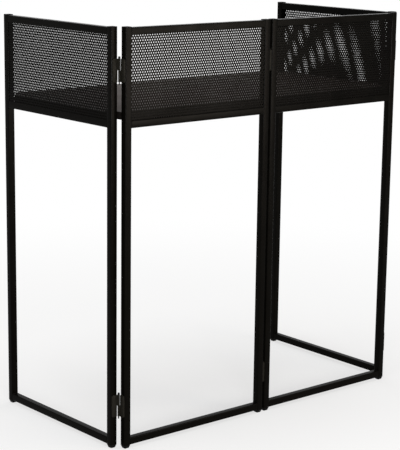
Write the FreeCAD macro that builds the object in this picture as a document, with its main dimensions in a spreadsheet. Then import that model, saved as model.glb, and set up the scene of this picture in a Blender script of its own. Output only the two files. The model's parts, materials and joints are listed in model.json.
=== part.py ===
import FreeCAD, Part
import collections
import os
import Sketcher

# Folding booth of four equal tube panels: two in line in front, a wing at each side, open at the back.
# +X runs to the right along the front, +Y to the back and +Z up, all in millimetres.
# The origin lies on the floor, midway between the wings and midway between front and back.

# Driving dimensions: alias, value and meaning
SIZES = (
    ("panel_width", 500, "width of a panel over its two uprights"),
    ("upright_length", 1120, "length of an upright, underside of bottom rail to top of top rail"),
    ("guard_height", 219, "clear height between the shelf rail and the top rail"),
    ("tube_size", 20, "outside of the square tube"),
    ("tube_wall", 1.2, "wall of the square tube"),
    ("tube_corner", 1.2, "flat along each corner of the square tube"),
    ("sheet_thickness", 1.5, "perforated sheet"),
    ("sheet_setback", 2.5, "perforated sheet behind the outer face of the tubes"),
    ("sheet_margin", 5, "least plain border round the holes"),
    ("hole_diameter", 4, "perforation of the real sheet"),
    ("hole_pitch", 7.86, "spacing of the staggered perforation of the real sheet"),
    ("hinge_gap", 7, "gap between two panels that stand in line"),
    ("hinge_setback", 3, "hinge axis behind the inner face of the front panels"),
    ("hinge_from_end", 110, "middle of a hinge from the nearer end of the uprights"),
    ("leaf_height", 60, "hinge leaf"),
    ("leaf_thickness", 3.3, "hinge leaf"),
    ("leaf_margin", 3, "free edge of a leaf from the outer face of its tube"),
    ("knuckle_diameter", 6.2, "outside of the hinge knuckle"),
    ("knuckle_clearance", 0.4, "between the two knuckles of a hinge"),
    ("knuckle_room", 2.4, "between a knuckle and the cut-away edge of the other leaf"),
    ("pin_diameter", 3.2, "hinge pin"),
    ("pin_clearance", 0.05, "between the pin and its bore, all round"),
    ("pin_tail", 7, "pin below the knuckles"),
    ("pin_head_diameter", 6, "head that rests on the upper knuckle"),
    ("pin_head_height", 6, "head that rests on the upper knuckle"),
    ("pin_head_edge", 1.8, "bevel round the top of the head"),
    ("plug_length", 12, "caps and feet inside the tube"),
    ("plug_clearance", 0.1, "between a plug and the wall of the tube, all round"),
    ("cap_height", 2, "cap above the upright"),
    ("cap_edge", 0.8, "chamfer round the top of a cap"),
    ("foot_height", 9, "foot below the upright"),
    ("foot_bottom", 14, "square face of a foot on the floor"),
    ("shelf_thickness", 20, "shelf board"),
    ("shelf_side_clearance", 1, "between the shelf and the sheets of the wings"),
    ("shelf_front_clearance", 1.25, "between the front edge of the shelf and the hinge knuckles"),
    ("shelf_back_inset", 6, "back edge of the shelf in front of the ends of the wings"),
    ("shelf_notch_clearance", 12, "between a notch and its upright, across the booth"),
    ("shelf_notch_run", 22, "between a notch and its upright, along the wing"),
    ("shelf_edge", 1, "chamfer round the faces of the shelf"),
)

# Real hole pitches, along and up, that one drawn hole stands for
HOLE_BLOCK = 7

# Lengths worked out from the driving dimensions
OPENING_WIDTH = "(sizes.panel_width - 2 * sizes.tube_size)"
TUBE_MIDDLE = "(sizes.tube_size / 2)"
TUBE_INSIDE = "(sizes.tube_size - 2 * sizes.tube_wall)"
PLUG_SIZE = f"({TUBE_INSIDE} - 2 * sizes.plug_clearance)"
WING_REACH = "(sizes.hinge_setback + sizes.tube_size)"
FRONT_LEFT_END = "(sizes.hinge_gap / 2 + sizes.panel_width)"
CORNER_AXIS = "(sizes.panel_width + sizes.hinge_gap)"
HALF_WIDTH = f"({CORNER_AXIS} + {WING_REACH})"
HALF_DEPTH = f"(({WING_REACH} + sizes.hinge_gap / 2 + sizes.panel_width) / 2)"
AXIS_Y = f"(-{HALF_DEPTH} + {WING_REACH})"
WING_FRONT = f"({HALF_DEPTH} - sizes.panel_width)"
UPRIGHT_TOP = "(sizes.foot_height + sizes.upright_length)"
TOP_RAIL_Z = f"({UPRIGHT_TOP} - {TUBE_MIDDLE})"
SHELF_RAIL_Z = f"({TOP_RAIL_Z} - sizes.guard_height - sizes.tube_size)"
BOTTOM_RAIL_Z = f"(sizes.foot_height + {TUBE_MIDDLE})"
SHEET_Z = f"(({TOP_RAIL_Z} + {SHELF_RAIL_Z}) / 2)"
SHELF_Z = f"({SHELF_RAIL_Z} + {TUBE_MIDDLE})"
UPPER_HINGE_Z = f"({UPRIGHT_TOP} - sizes.hinge_from_end)"
LOWER_HINGE_Z = "(sizes.foot_height + sizes.hinge_from_end)"
DRAWN_HOLE = f"(sizes.hole_diameter * {HOLE_BLOCK})"
DRAWN_PITCH = f"(sizes.hole_pitch * {HOLE_BLOCK})"
DRAWN_ROW = f"({DRAWN_PITCH} * sin(60))"

# Value that leaves a step of a pattern at the pattern's own offset
EVEN_SPACING = -1.0

Z_AXIS = FreeCAD.Vector(0, 0, 1)
Y_AXIS = FreeCAD.Vector(0, 1, 0)
DIAGONAL = FreeCAD.Vector(1, 1, 0)

# A panel's own frame has its width along X and its depth along Y, from the outer face inwards.
Panel = collections.namedtuple("Panel", "name turn corner_x corner_y first_upright second_upright")

PANELS = (
    Panel("front_left", 0, f"-{FRONT_LEFT_END}", f"-{HALF_DEPTH}", "corner", "centre"),
    Panel("front_right", 0, "sizes.hinge_gap / 2", f"-{HALF_DEPTH}", "centre", "corner"),
    Panel("left_wing", -90, f"-{HALF_WIDTH}", HALF_DEPTH, "rear", "front"),
    Panel("right_wing", 90, HALF_WIDTH, WING_FRONT, "front", "rear"),
)

# Leaf attitudes: the leaf is drawn as it lies on the left wing's front end.
LEFT_WING_END = FreeCAD.Rotation()
RIGHT_WING_END = FreeCAD.Rotation(Y_AXIS, 180)
LEFT_OF_GAP = FreeCAD.Rotation(Z_AXIS, 90)
RIGHT_OF_GAP = FreeCAD.Rotation(DIAGONAL, 180)

# A hinge line joins two leaves: a name for each leaf and its attitude.
HingeLine = collections.namedtuple("HingeLine", "name axis_x leaves")

HINGE_LINES = (
    HingeLine("left_corner", f"-{CORNER_AXIS}", (("wing", LEFT_WING_END), ("front", RIGHT_OF_GAP))),
    HingeLine("centre", "0", (("left", LEFT_OF_GAP), ("right", RIGHT_OF_GAP))),
    HingeLine("right_corner", CORNER_AXIS, (("wing", RIGHT_WING_END), ("front", LEFT_OF_GAP))),
)

doc = FreeCAD.newDocument("folding_booth")
sheet = doc.addObject("Spreadsheet::Sheet", "sizes")
sub_parts = []


def fill_sheet():
    """Writes each driving dimension into the sheet, under its alias."""
    for row, (alias, value, meaning) in enumerate(SIZES, start=1):
        sheet.set(f"A{row}", alias)
        sheet.set(f"B{row}", str(value))
        sheet.set(f"C{row}", meaning)
        sheet.setAlias(f"B{row}", alias)
    doc.recompute()


def value_of(expression):
    """Number that an expression of the sheet gives now."""
    return float(sheet.evalExpression(expression))


def new_body(label):
    """Empty body for one sub-part or one solid of a group."""
    body = doc.addObject("PartDesign::Body", label)
    body.Label = label
    return body


def new_sketch(body, name, role, offset):
    """Sketch on one of the body's own planes, moved in it and along its normal by three expressions."""
    plane = next(feature for feature in body.Origin.OriginFeatures if feature.Role == role)
    sketch = body.newObject("Sketcher::SketchObject", name)
    sketch.AttachmentSupport = [(plane, "")]
    sketch.MapMode = "FlatFace"
    for direction, expression in zip("xyz", offset):
        sketch.setExpression(f"AttachmentOffset.Base.{direction}", expression)
    return sketch


def closed_outline(sketch, corners):
    """Draws straight lines from corner to corner and back to the first."""
    points = [FreeCAD.Vector(across, up, 0) for across, up in corners]
    count = len(points)
    for number in range(count):
        sketch.addGeometry(Part.LineSegment(points[number], points[(number + 1) % count]), False)
    for number in range(count):
        sketch.addConstraint(Sketcher.Constraint("Coincident", number, 2, (number + 1) % count, 1))


def bind(sketch, constraint, expression):
    """Adds a constraint whose value follows an expression."""
    index = sketch.addConstraint(constraint)
    sketch.setExpression(f"Constraints[{index}]", expression)


def rectangle(body, name, role, width, height, offset=("0", "0", "0")):
    """Sketch of a rectangle about its own origin."""
    sketch = new_sketch(body, name, role, offset)
    half_width = value_of(width) / 2
    half_height = value_of(height) / 2
    closed_outline(sketch, (
        (-half_width, -half_height), (half_width, -half_height),
        (half_width, half_height), (-half_width, half_height)))
    for line, direction in enumerate(("Horizontal", "Vertical", "Horizontal", "Vertical")):
        sketch.addConstraint(Sketcher.Constraint(direction, line))
    sketch.addConstraint(Sketcher.Constraint("Symmetric", 0, 1, 1, 2, -1, 1))
    bind(sketch, Sketcher.Constraint("DistanceX", 0, 1, 0, 2, 2 * half_width), width)
    bind(sketch, Sketcher.Constraint("DistanceY", 1, 1, 1, 2, 2 * half_height), height)
    return sketch


def circle(body, name, role, diameter, offset=("0", "0", "0")):
    """Sketch of a circle about its own origin."""
    sketch = new_sketch(body, name, role, offset)
    radius = value_of(diameter) / 2
    sketch.addGeometry(Part.Circle(FreeCAD.Vector(), Z_AXIS, radius), False)
    sketch.addConstraint(Sketcher.Constraint("Coincident", 0, 3, -1, 1))
    bind(sketch, Sketcher.Constraint("Diameter", 0, 2 * radius), diameter)
    return sketch


def hexagon(body, name, role, diameter, offset):
    """Sketch of a six-sided hole inside a circle, with a corner at the top."""
    sketch = new_sketch(body, name, role, offset)
    radius = value_of(diameter) / 2
    corner = FreeCAD.Vector(0, radius, 0)
    turns = [FreeCAD.Rotation(Z_AXIS, 60 * number) for number in range(6)]
    closed_outline(sketch, [tuple(turn.multVec(corner))[:2] for turn in turns])
    outer = sketch.addGeometry(Part.Circle(FreeCAD.Vector(), Z_AXIS, radius), True)
    sketch.addConstraint(Sketcher.Constraint("Coincident", outer, 3, -1, 1))
    for side in range(6):
        sketch.addConstraint(Sketcher.Constraint("PointOnObject", side, 1, outer))
    for side in range(1, 6):
        sketch.addConstraint(Sketcher.Constraint("Equal", 0, side))
    sketch.addConstraint(Sketcher.Constraint("PointOnObject", 0, 1, -2))
    bind(sketch, Sketcher.Constraint("Diameter", outer, 2 * radius), diameter)
    return sketch


def pad(body, sketch, length, reverse=False):
    """Pads a sketch along its normal, or against it."""
    feature = body.newObject("PartDesign::Pad", f"{sketch.Name}_pad")
    feature.Profile = sketch
    feature.setExpression("Length", length)
    feature.Reversed = reverse
    doc.recompute()
    return feature


def pocket(body, sketch, length, reverse=False):
    """Cuts a sketch into the body against its normal, or along it, and makes sure that it cuts."""
    before = body.Shape.Volume
    feature = body.newObject("PartDesign::Pocket", f"{sketch.Name}_pocket")
    feature.Profile = sketch
    feature.setExpression("Length", length)
    feature.Reversed = reverse
    doc.recompute()
    if not body.Shape.Volume < before:
        raise RuntimeError(f"{feature.Name} cuts nothing")
    return feature


def revolve(body, name, corners):
    """Turns an outline of radius and height expressions about the body's Z axis."""
    sketch = new_sketch(body, name, "XZ_Plane", ("0", "0", "0"))
    closed_outline(sketch, [(value_of(radius), value_of(height)) for radius, height in corners])
    for number, (radius, height) in enumerate(corners):
        for kind, axis, expression in (("DistanceX", -2, radius), ("DistanceY", -1, height)):
            if value_of(expression) == 0:
                sketch.addConstraint(Sketcher.Constraint("PointOnObject", number, 1, axis))
            else:
                bind(sketch, Sketcher.Constraint(kind, -1, 1, number, 1, value_of(expression)), expression)
    feature = body.newObject("PartDesign::Revolution", f"{name}_revolution")
    feature.Profile = sketch
    feature.ReferenceAxis = (sketch, ["V_Axis"])
    feature.Angle = 360
    doc.recompute()
    return feature


def edges_along(feature, direction):
    """Names of the straight edges of a feature that run along a direction."""
    names = []
    for number, edge in enumerate(feature.Shape.Edges, start=1):
        run = edge.Vertexes[-1].Point - edge.Vertexes[0].Point
        if run.Length > 0 and abs(abs(run.normalize().dot(direction)) - 1) < 1e-6:
            names.append(f"Edge{number}")
    return names


def edges_rising(feature):
    """Names of the edges of a feature that aren't level."""
    rising = []
    for number, edge in enumerate(feature.Shape.Edges, start=1):
        if edge.BoundBox.ZLength > 1e-6:
            rising.append(f"Edge{number}")
    return rising


def edges_at_height(feature, height):
    """Names of the edges of a feature that lie level at one height."""
    names = []
    for number, edge in enumerate(feature.Shape.Edges, start=1):
        box = edge.BoundBox
        if abs(box.ZMin - height) < 1e-6 and abs(box.ZMax - height) < 1e-6:
            names.append(f"Edge{number}")
    return names


def chamfer(body, base, edges, size):
    """Breaks named edges of a feature."""
    feature = body.newObject("PartDesign::Chamfer", f"{base.Name}_chamfer")
    feature.Base = (base, edges)
    feature.setExpression("Size", size)
    doc.recompute()
    return feature


def place(piece, east, north, height, rotation):
    """Turns a piece and binds its place to three expressions."""
    piece.Placement = FreeCAD.Placement(FreeCAD.Vector(), rotation)
    for direction, expression in zip("xyz", (east, north, height)):
        piece.setExpression(f"Placement.Base.{direction}", expression)


def place_in_panel(piece, panel, along, inward, height):
    """Places a piece by its distance along a panel, inward from its outer face and above the floor."""
    steps = {0: (along, inward), -90: (inward, f"-{along}"), 90: (f"-{inward}", along)}
    east, north = steps[panel.turn]
    place(piece, f"{panel.corner_x} + {east}", f"{panel.corner_y} + {north}", height,
          FreeCAD.Rotation(Z_AXIS, panel.turn))


def square_tube(label, role, direction, length):
    """Square tube that starts at its origin and runs along one axis."""
    body = new_body(label)
    outside = rectangle(body, f"{label}_outside", role, "sizes.tube_size", "sizes.tube_size")
    solid = pad(body, outside, length)
    chamfer(body, solid, edges_along(solid, direction), "sizes.tube_corner")
    inside = rectangle(body, f"{label}_inside", role, TUBE_INSIDE, TUBE_INSIDE)
    pocket(body, inside, length, reverse=True)
    return body


def perforated_sheet(label):
    """Sheet that fills a panel's top bay, with staggered rows of holes.

    One drawn hole stands for a block of real ones, at the same share of its pitch.
    """
    body = new_body(label)
    blank = rectangle(body, f"{label}_blank", "XZ_Plane", OPENING_WIDTH, "sizes.guard_height")
    pad(body, blank, "sizes.sheet_thickness", reverse=True)
    columns = f"(floor(({OPENING_WIDTH} - 2 * sizes.sheet_margin - {DRAWN_HOLE}) / {DRAWN_PITCH}) + 1)"
    rows = f"(floor((sizes.guard_height - 2 * sizes.sheet_margin - {DRAWN_HOLE}) / {DRAWN_ROW}) + 1)"
    first_x = f"(-({columns} - 1) / 2 * {DRAWN_PITCH})"
    first_z = f"(-({rows} - 1) / 2 * {DRAWN_ROW})"
    row_kinds = (
        ("full_row", first_x, first_z, columns, f"ceil({rows} / 2)"),
        ("short_row", f"({first_x} + {DRAWN_PITCH} / 2)", f"({first_z} + {DRAWN_ROW})",
         f"({columns} - 1)", f"floor({rows} / 2)"),
    )
    for name, start_x, start_z, across, up in row_kinds:
        hole = hexagon(body, f"{label}_{name}", "XZ_Plane", DRAWN_HOLE, (start_x, start_z, "0"))
        cut = pocket(body, hole, "sizes.sheet_thickness")
        pattern = body.newObject("PartDesign::LinearPattern", f"{label}_{name}_pattern")
        pattern.Originals = [cut]
        pattern.Direction = (hole, ["H_Axis"])
        pattern.Mode = "Spacing"
        pattern.setExpression("Offset", DRAWN_PITCH)
        pattern.setExpression("Occurrences", across)
        pattern.Direction2 = (hole, ["V_Axis"])
        pattern.Mode2 = "Spacing"
        pattern.Spacings2 = [EVEN_SPACING]
        pattern.setExpression("Offset2", f"2 * {DRAWN_ROW}")
        pattern.setExpression("Occurrences2", up)
        body.Tip = pattern
        doc.recompute()
    return body


def tube_cap(label):
    """Cap on a tube end, with its plug below and its underside at the origin."""
    body = new_body(label)
    top = rectangle(body, f"{label}_top", "XY_Plane", "sizes.tube_size", "sizes.tube_size")
    solid = pad(body, top, "sizes.cap_height")
    cornered = chamfer(body, solid, edges_along(solid, Z_AXIS), "sizes.tube_corner")
    chamfer(body, cornered, edges_at_height(cornered, value_of("sizes.cap_height")), "sizes.cap_edge")
    plug = rectangle(body, f"{label}_plug", "XY_Plane", PLUG_SIZE, PLUG_SIZE)
    pad(body, plug, "sizes.plug_length", reverse=True)
    return body


def glide_foot(label):
    """Foot under a tube end: a square glide, narrower at the floor, and a plug. It stands on its origin."""
    body = new_body(label)
    offset = ("0", "0", "sizes.foot_height")
    top = rectangle(body, f"{label}_top", "XY_Plane", "sizes.tube_size", "sizes.tube_size", offset)
    glide = pad(body, top, "sizes.foot_height", reverse=True)
    glide.setExpression("TaperAngle", "-atan((sizes.tube_size - sizes.foot_bottom) / 2 / sizes.foot_height)")
    doc.recompute()
    chamfer(body, glide, edges_rising(glide), "sizes.tube_corner")
    plug = rectangle(body, f"{label}_plug", "XY_Plane", PLUG_SIZE, PLUG_SIZE, offset)
    pad(body, plug, "sizes.plug_length")
    return body


def hinge_leaf(label):
    """Leaf about the hinge axis: a plate to the left of it, a knuckle in the upper half, room below."""
    body = new_body(label)
    plate_width = f"({WING_REACH} - sizes.leaf_margin)"
    plate_offset = (f"-{plate_width} / 2", "(sizes.hinge_gap - sizes.leaf_thickness) / 2",
                    "-sizes.leaf_height / 2")
    plate = rectangle(body, f"{label}_plate", "XY_Plane", plate_width, "sizes.leaf_thickness", plate_offset)
    pad(body, plate, "sizes.leaf_height")
    room_offset = ("0", "0", "sizes.knuckle_clearance / 2")
    room_diameter = "(sizes.knuckle_diameter + 2 * sizes.knuckle_room)"
    room = circle(body, f"{label}_room", "XY_Plane", room_diameter, room_offset)
    pocket(body, room, "sizes.leaf_height / 2 + sizes.knuckle_clearance / 2")
    knuckle = circle(body, f"{label}_knuckle", "XY_Plane", "sizes.knuckle_diameter", room_offset)
    pad(body, knuckle, "sizes.leaf_height / 2 - sizes.knuckle_clearance / 2")
    bore = circle(body, f"{label}_bore", "XY_Plane", "(sizes.pin_diameter + 2 * sizes.pin_clearance)")
    pocket(body, bore, "sizes.leaf_height / 2", reverse=True)
    return body


def hinge_pin(label):
    """Pin about the hinge axis, with a bevelled head that rests on the upper knuckle."""
    body = new_body(label)
    head_foot = "(sizes.leaf_height / 2)"
    head_top = f"({head_foot} + sizes.pin_head_height)"
    head_radius = "(sizes.pin_head_diameter / 2)"
    shank_radius = "(sizes.pin_diameter / 2)"
    tip = f"(-{head_foot} - sizes.pin_tail)"
    revolve(body, f"{label}_profile", (
        ("0", tip),
        (shank_radius, tip),
        (shank_radius, head_foot),
        (head_radius, head_foot),
        (head_radius, f"({head_top} - sizes.pin_head_edge)"),
        (f"({head_radius} - sizes.pin_head_edge)", head_top),
        ("0", head_top)))
    return body


def shelf_board(label):
    """Board that rests on the wings' shelf rails, notched round the four wing uprights."""
    body = new_body(label)
    half_width = (f"({HALF_WIDTH} - sizes.sheet_setback - sizes.sheet_thickness"
                  f" - sizes.shelf_side_clearance)")
    front = f"({AXIS_Y} + sizes.knuckle_diameter / 2 + sizes.shelf_front_clearance)"
    back = f"({HALF_DEPTH} - sizes.shelf_back_inset)"
    middle = f"(({front} + {back}) / 2)"
    board = rectangle(body, f"{label}_board", "XY_Plane", f"2 * {half_width}", f"({back} - {front})",
                      ("0", middle, "0"))
    pad(body, board, "sizes.shelf_thickness")
    notch_inner = f"({HALF_WIDTH} - sizes.tube_size - sizes.shelf_notch_clearance)"
    notch_width = f"({half_width} - {notch_inner})"
    notch_reach = "(sizes.tube_size + sizes.shelf_notch_run)"
    front_depth = f"({WING_FRONT} + {notch_reach} - {front})"
    back_depth = f"({notch_reach} - sizes.shelf_back_inset)"
    ends = (("front", front, front_depth, "+"), ("back", back, back_depth, "-"))
    for side, sign in (("left", "-"), ("right", "")):
        notch_x = f"{sign}({half_width} + {notch_inner}) / 2"
        for end, edge, depth, inward in ends:
            notch = rectangle(body, f"{label}_{side}_{end}_notch", "XY_Plane", notch_width, depth,
                              (notch_x, f"({edge} {inward} {depth} / 2)", "0"))
            cut = pocket(body, notch, "sizes.shelf_thickness", reverse=True)
    faces = edges_at_height(cut, 0) + edges_at_height(cut, value_of("sizes.shelf_thickness"))
    chamfer(body, cut, faces, "sizes.shelf_edge")
    return body


def group(label, pieces):
    """One sub-part that holds several identical solids."""
    compound = doc.addObject("Part::Compound", label)
    compound.Label = label
    compound.Links = pieces
    return compound


def build_panel(panel):
    """Tubes, sheet, caps and feet of one panel."""
    ends = (
        (panel.first_upright, TUBE_MIDDLE),
        (panel.second_upright, f"(sizes.panel_width - {TUBE_MIDDLE})"),
    )
    caps = []
    feet = []
    for end, along in ends:
        upright = square_tube(f"{panel.name}_{end}_upright", "XY_Plane", Z_AXIS, "sizes.upright_length")
        place_in_panel(upright, panel, along, TUBE_MIDDLE, "sizes.foot_height")
        sub_parts.append(upright)
        cap = tube_cap(f"{panel.name}_{end}_cap")
        place_in_panel(cap, panel, along, TUBE_MIDDLE, UPRIGHT_TOP)
        caps.append(cap)
        foot = glide_foot(f"{panel.name}_{end}_foot")
        place_in_panel(foot, panel, along, TUBE_MIDDLE, "0")
        feet.append(foot)
    for name, height in (("top", TOP_RAIL_Z), ("shelf", SHELF_RAIL_Z), ("bottom", BOTTOM_RAIL_Z)):
        rail = square_tube(f"{panel.name}_{name}_rail", "YZ_Plane", FreeCAD.Vector(1, 0, 0), OPENING_WIDTH)
        place_in_panel(rail, panel, "sizes.tube_size", TUBE_MIDDLE, height)
        sub_parts.append(rail)
    mesh = perforated_sheet(f"{panel.name}_perforated_sheet")
    place_in_panel(mesh, panel, "(sizes.panel_width / 2)", "sizes.sheet_setback", SHEET_Z)
    sub_parts.append(mesh)
    sub_parts.append(group(f"{panel.name}_tube_caps", caps))
    sub_parts.append(group(f"{panel.name}_feet", feet))


def build_hinges(line):
    """Upper and lower hinge of one hinge line: two leaves and a pin each."""
    for level, height in (("upper", UPPER_HINGE_Z), ("lower", LOWER_HINGE_Z)):
        for name, attitude in line.leaves:
            leaf = hinge_leaf(f"{line.name}_{level}_hinge_{name}_leaf")
            place(leaf, line.axis_x, AXIS_Y, height, attitude)
            sub_parts.append(leaf)
        pin = hinge_pin(f"{line.name}_{level}_hinge_pin")
        place(pin, line.axis_x, AXIS_Y, height, FreeCAD.Rotation())
        sub_parts.append(pin)


def build_shelf():
    """Shelf across the two wings."""
    board = shelf_board("shelf_board")
    place(board, "0", "0", SHELF_Z, FreeCAD.Rotation())
    sub_parts.append(board)


def check_model():
    """Stops if a feature has failed or a sub-part's shape is missing or broken."""
    for item in doc.Objects:
        if "Invalid" in item.State or "Error" in item.State:
            raise RuntimeError(f"{item.Label} failed: {item.State}")
    for item in sub_parts:
        if item.Shape.isNull() or not item.Shape.isValid():
            raise RuntimeError(f"{item.Label} has no valid shape")


def write_parts():
    """Writes each sub-part to a file that has its label as its name."""
    os.makedirs("parts", exist_ok=True)
    for item in sub_parts:
        item.Shape.exportStep(os.path.join("parts", f"{item.Label}.step"))
        print(f"{item.Label}: {len(item.Shape.Solids)} solid, {item.Shape.Volume:.1f} mm3")


fill_sheet()
for panel in PANELS:
    build_panel(panel)
for line in HINGE_LINES:
    build_hinges(line)
build_shelf()
doc.recompute()
check_model()
write_parts()
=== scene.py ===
"""Looks of a folding DJ booth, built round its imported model.

Four equal tube panels stand in a U on pin hinges and carry a laminate shelf. Each piece is modelled where
its node is, with rounded tube corners, weld beads, finely perforated sheets and moulded caps and feet.
All lengths are in metres, +X runs to the right along the front, +Y to the back and +Z up.
"""

import json
import logging
import math
from contextlib import contextmanager
from dataclasses import dataclass, field
from enum import Enum
from typing import Callable, Iterator, Sequence

import bmesh
import bpy
from mathutils import Matrix, Vector

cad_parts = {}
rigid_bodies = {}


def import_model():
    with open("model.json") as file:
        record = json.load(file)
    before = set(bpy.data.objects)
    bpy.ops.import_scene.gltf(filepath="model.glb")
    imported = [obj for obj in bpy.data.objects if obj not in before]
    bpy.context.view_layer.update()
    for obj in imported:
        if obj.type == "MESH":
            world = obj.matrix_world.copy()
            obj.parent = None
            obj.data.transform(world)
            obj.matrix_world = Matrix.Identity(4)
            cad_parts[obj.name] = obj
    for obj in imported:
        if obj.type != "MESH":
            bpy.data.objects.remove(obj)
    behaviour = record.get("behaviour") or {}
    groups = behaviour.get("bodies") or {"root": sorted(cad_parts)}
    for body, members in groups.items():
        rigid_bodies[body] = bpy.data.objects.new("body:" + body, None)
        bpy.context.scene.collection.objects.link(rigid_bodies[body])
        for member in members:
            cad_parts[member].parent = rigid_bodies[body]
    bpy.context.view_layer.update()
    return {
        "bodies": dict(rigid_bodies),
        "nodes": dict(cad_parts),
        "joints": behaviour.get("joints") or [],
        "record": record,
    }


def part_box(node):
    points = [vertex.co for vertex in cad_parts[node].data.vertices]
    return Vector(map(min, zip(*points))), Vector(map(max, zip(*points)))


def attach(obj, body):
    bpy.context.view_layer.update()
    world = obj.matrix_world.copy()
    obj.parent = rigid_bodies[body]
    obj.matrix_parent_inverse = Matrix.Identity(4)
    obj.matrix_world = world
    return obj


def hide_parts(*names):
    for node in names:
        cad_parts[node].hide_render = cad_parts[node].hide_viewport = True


LOG = logging.getLogger("booth")
MM = 0.001
# How near a point lies to a place that it counts as being at
NEAR = 0.1 * MM
CUT_TOLERANCE = 0.001 * MM
# Cosine past which a face counts as square to an axis
SQUARE_ON = 0.99
SMOOTH_ANGLE = math.radians(35)
FLAT_ANGLE = math.radians(1)
ORIGIN = Vector((0.0, 0.0, 0.0))
WHITE = (1.0, 1.0, 1.0)

Node = bpy.types.Node
Object = bpy.types.Object
Material = bpy.types.Material
Socket = bpy.types.NodeSocket
Tree = bpy.types.NodeTree
Colour = tuple[float, float, float]
Place = tuple[float, float, float]
Span = tuple[float, float]
EdgeTest = Callable[[Vector, Vector], bool]
FaceTest = Callable[[Vector, Vector], bool]


class Axis(Enum):
    """Index of a coordinate in a vector."""

    X = 0
    Y = 1
    Z = 2


class Element(Enum):
    """What edit mode selects."""

    POINT = "VERT"
    EDGE = "EDGE"
    FACE = "FACE"


class Slot(Enum):
    """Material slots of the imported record."""

    FRAME = "frame_powder_coat"
    SHEET = "sheet_powder_coat"
    HINGE = "hinge_finish"
    PIN = "pin_finish"
    CAP = "cap_plastic"
    FOOT = "foot_plastic"
    SHELF = "shelf_laminate"


class PanelPlace(Enum):
    """The four panels, each with its names, its attitude and the place of its punched pattern."""

    FRONT_LEFT = ("front_left", "front", 0, "corner", "centre", -1.96 * MM, 0.3 * MM)
    FRONT_RIGHT = ("front_right", "front", 0, "centre", "corner", 3.9 * MM, 0.6 * MM)
    LEFT_WING = ("left_wing", "left_wing", -1, "rear", "front", 1.3 * MM, 1.45 * MM)
    RIGHT_WING = ("right_wing", "right_wing", 1, "front", "rear", 0.25 * MM, 2.6 * MM)

    def __init__(self, label: str, body: str, turns: int, first: str, second: str,
                 hole_along: float, hole_up: float) -> None:
        """Keeps what is known of a panel.

        Args:
            label: start of the names of its nodes.
            body: body that it belongs to.
            turns: quarter turns about Z that it stands at.
            first: name of the upright at its start.
            second: name of the upright at its end.
            hole_along: place of one hole along the sheet, from the sheet's lower first corner.
            hole_up: place of that hole up the sheet.
        """
        self.label = label
        self.body = body
        self.turns = turns
        self.ends = (first, second)
        self.hole_along = hole_along
        self.hole_up = hole_up

    def frame(self) -> Matrix:
        """Finds the panel's own frame: X along its width, Y inward from its outer face, Z up.

        Returns:
            The matrix that takes the panel's own frame to the booth's.
        """
        low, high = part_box(f"{self.label}_{self.ends[0]}_upright")
        corner = {0: (low.x, low.y), -1: (low.x, high.y), 1: (high.x, low.y)}[self.turns]
        turn = Matrix.Rotation(self.turns * math.pi / 2, 4, "Z")
        return Matrix.Translation((*corner, 0.0)) @ turn


class LeafAttitude(Enum):
    """How a hinge leaf lies about its axis: the axis and the degrees that it is turned by."""

    LEFT_WING_END = ((0.0, 0.0, 1.0), 0)
    RIGHT_WING_END = ((0.0, 1.0, 0.0), 180)
    LEFT_OF_GAP = ((0.0, 0.0, 1.0), 90)
    RIGHT_OF_GAP = ((1.0, 1.0, 0.0), 180)

    def turn(self) -> Matrix:
        """Gives the rotation of a leaf that is drawn on the left wing's front end."""
        direction, degrees = self.value
        return Matrix.Rotation(math.radians(degrees), 4, Vector(direction))


class HingeLine(Enum):
    """The three hinge lines: name, and for each leaf its name, its body and its attitude."""

    LEFT_CORNER = ("left_corner", (
        ("wing", "left_wing", LeafAttitude.LEFT_WING_END),
        ("front", "front", LeafAttitude.RIGHT_OF_GAP)))
    CENTRE = ("centre", (
        ("left", "front", LeafAttitude.LEFT_OF_GAP),
        ("right", "front", LeafAttitude.RIGHT_OF_GAP)))
    RIGHT_CORNER = ("right_corner", (
        ("wing", "right_wing", LeafAttitude.RIGHT_WING_END),
        ("front", "front", LeafAttitude.LEFT_OF_GAP)))


def runs_along(axis: Axis, length: float) -> EdgeTest:
    """Makes a test for edges that run further along an axis than a length."""
    return lambda first, second: abs(first[axis.value] - second[axis.value]) > length


def lies_at(axis: Axis, value: float) -> EdgeTest:
    """Makes a test for edges that lie at a value on an axis."""
    return lambda first, second: all(abs(end[axis.value] - value) < NEAR for end in (first, second))


def is_level(first: Vector, second: Vector) -> bool:
    """Tells whether an edge is level."""
    return abs(first.z - second.z) < NEAR


def faces_up(middle: Vector, normal: Vector) -> bool:
    """Tells whether a face looks straight up."""
    return normal.z > SQUARE_ON


def faces_down(middle: Vector, normal: Vector) -> bool:
    """Tells whether a face looks straight down."""
    return normal.z < -SQUARE_ON


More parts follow.
